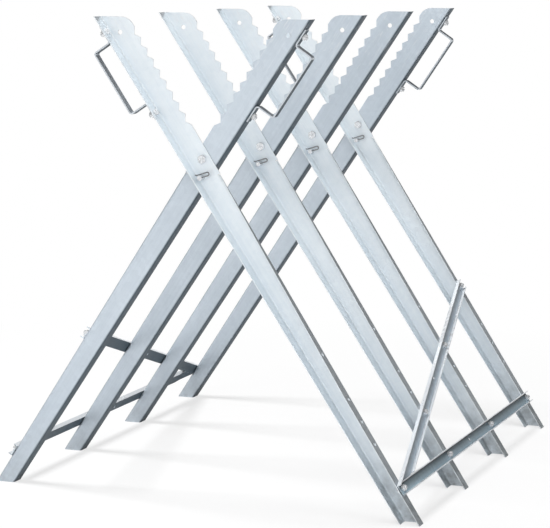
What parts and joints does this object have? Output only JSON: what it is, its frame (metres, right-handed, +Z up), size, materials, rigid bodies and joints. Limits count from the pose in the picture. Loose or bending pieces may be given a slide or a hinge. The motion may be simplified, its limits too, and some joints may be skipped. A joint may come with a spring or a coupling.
{
  "type": "log saw stand",
  "caption": "Folding log stand: slanted channel legs with toothed jaws cross in pairs on pivot bolts, tied by foot rails and diagonal braces, with carrying handles and locking pins.",
  "frame": {"origin": "on the floor, under the middle of the stand", "axes": "+X towards the right feet, +Y from the front frame to the rear frame, +Z up"},
  "size_m": [0.77, 0.8404, 0.8],
  "materials": {
    "zinc_sheet": "pale galvanised sheet, satin",
    "zinc_channel": "galvanised channel strip, satin",
    "zinc_strip": "galvanised bent strip, satin",
    "bright_fastener": "bright zinc plated fastener",
    "spring_wire": "plain spring wire"
  },
  "bodies": {
    "right_rack": {"right_leg_1": "zinc_sheet", "right_leg_2": "zinc_sheet", "right_leg_3": "zinc_sheet", "right_leg_4": "zinc_sheet", "right_foot_rail": "zinc_channel", "right_diagonal_brace": "zinc_channel", "handle_left_front": "zinc_strip", "handle_left_rear": "zinc_strip", "right_rail_bolts": "bright_fastener", "right_rail_nuts": "bright_fastener", "left_handle_bolts": "bright_fastener", "left_handle_nuts": "bright_fastener", "pivot_bolts": "bright_fastener", "pivot_washers": "bright_fastener", "pivot_nuts": "bright_fastener"},
    "left_rack": {"left_leg_1": "zinc_sheet", "left_leg_2": "zinc_sheet", "left_leg_3": "zinc_sheet", "left_leg_4": "zinc_sheet", "left_foot_rail": "zinc_channel", "left_diagonal_brace": "zinc_channel", "handle_right_front": "zinc_strip", "handle_right_rear": "zinc_strip", "left_rail_bolts": "bright_fastener", "left_rail_nuts": "bright_fastener", "right_handle_bolts": "bright_fastener", "right_handle_nuts": "bright_fastener"},
    "lock_pin_1": {"lock_pin_1": "bright_fastener"},
    "lock_pin_2": {"lock_pin_2": "bright_fastener"},
    "lock_pin_3": {"lock_pin_3": "bright_fastener"},
    "lock_pin_4": {"lock_pin_4": "bright_fastener"},
    "lock_clip_1": {"lock_clip_1": "spring_wire"},
    "lock_clip_2": {"lock_clip_2": "spring_wire"},
    "lock_clip_3": {"lock_clip_3": "spring_wire"},
    "lock_clip_4": {"lock_clip_4": "spring_wire"}
  },
  "joints": [
    {"name": "fold", "type": "hinge", "parent": "right_rack", "child": "left_rack", "pos_m": [0, 0, 0.57103], "axis": [0, -1, 0], "range_deg": [0, 64]},
    {"name": "pin_1_slide", "type": "slide", "parent": "right_rack", "child": "lock_pin_1", "axis": [0, -1, 0], "range_m": [-0.008, 0]},
    {"name": "pin_2_slide", "type": "slide", "parent": "right_rack", "child": "lock_pin_2", "axis": [0, -1, 0], "range_m": [-0.008, 0]},
    {"name": "pin_3_slide", "type": "slide", "parent": "right_rack", "child": "lock_pin_3", "axis": [0, -1, 0], "range_m": [-0.008, 0]},
    {"name": "pin_4_slide", "type": "slide", "parent": "right_rack", "child": "lock_pin_4", "axis": [0, -1, 0], "range_m": [-0.008, 0]},
    {"name": "clip_1_slide", "type": "slide", "parent": "lock_pin_1", "child": "lock_clip_1", "axis": [0.9511, 0, 0.309], "range_m": [0, 0.02]},
    {"name": "clip_2_slide", "type": "slide", "parent": "lock_pin_2", "child": "lock_clip_2", "axis": [0.9511, 0, 0.309], "range_m": [0, 0.02]},
    {"name": "clip_3_slide", "type": "slide", "parent": "lock_pin_3", "child": "lock_clip_3", "axis": [0.9511, 0, 0.309], "range_m": [0, 0.02]},
    {"name": "clip_4_slide", "type": "slide", "parent": "lock_pin_4", "child": "lock_clip_4", "axis": [0.9511, 0, 0.309], "range_m": [0, 0.02]}
  ]
}
